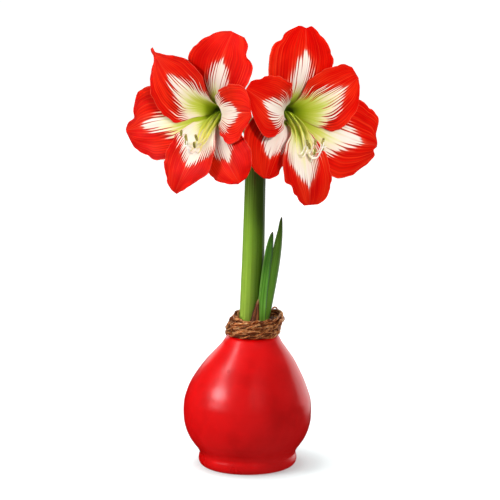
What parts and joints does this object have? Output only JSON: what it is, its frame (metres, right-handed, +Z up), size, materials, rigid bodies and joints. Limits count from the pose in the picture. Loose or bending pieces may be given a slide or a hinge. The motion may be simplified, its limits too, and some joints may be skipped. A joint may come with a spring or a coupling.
{
  "type": "waxed amaryllis bulb",
  "caption": "Amaryllis bulb in a glossy red wax coat, vine ring round its neck, two short leaves and a green scape with two red and cream blooms.",
  "frame": {"origin": "centre of the flat wax foot, on the ground", "axes": "+Z up along the scape, -Y to the front where both blooms face, +X to the right as seen from the front"},
  "size_m": [0.1935, 0.1444, 0.3579],
  "materials": {
    "red_wax": "glossy dipped wax",
    "bulb_skin": "dry papery tunic",
    "vine": "peeled vine, slightly shiny",
    "scape_green": "fresh waxy stem",
    "leaf_green": "fresh leaf",
    "papery_bract": "withered and papery",
    "tepal_red": "velvety petal with a cream blaze",
    "stamen_cream": "smooth and fleshy"
  },
  "bodies": {
    "root": {"wax_coat": "red_wax", "bulb": "bulb_skin", "vine_ring": "vine", "scape": "scape_green", "leaf_short": "leaf_green", "leaf_tall": "leaf_green", "spathe_left": "papery_bract", "spathe_right": "papery_bract", "left_flower_stalk": "scape_green", "left_sepal_top": "tepal_red", "left_petal_upper": "tepal_red", "left_sepal_side": "tepal_red", "left_petal_lower": "tepal_red", "left_sepal_lower": "tepal_red", "left_petal_inward": "tepal_red", "left_stamens": "stamen_cream", "left_style": "stamen_cream", "right_flower_stalk": "scape_green", "right_sepal_top": "tepal_red", "right_petal_upper": "tepal_red", "right_sepal_side": "tepal_red", "right_petal_lower": "tepal_red", "right_sepal_lower": "tepal_red", "right_petal_inward": "tepal_red", "right_stamens": "stamen_cream", "right_style": "stamen_cream"}
  },
  "joints": []
}
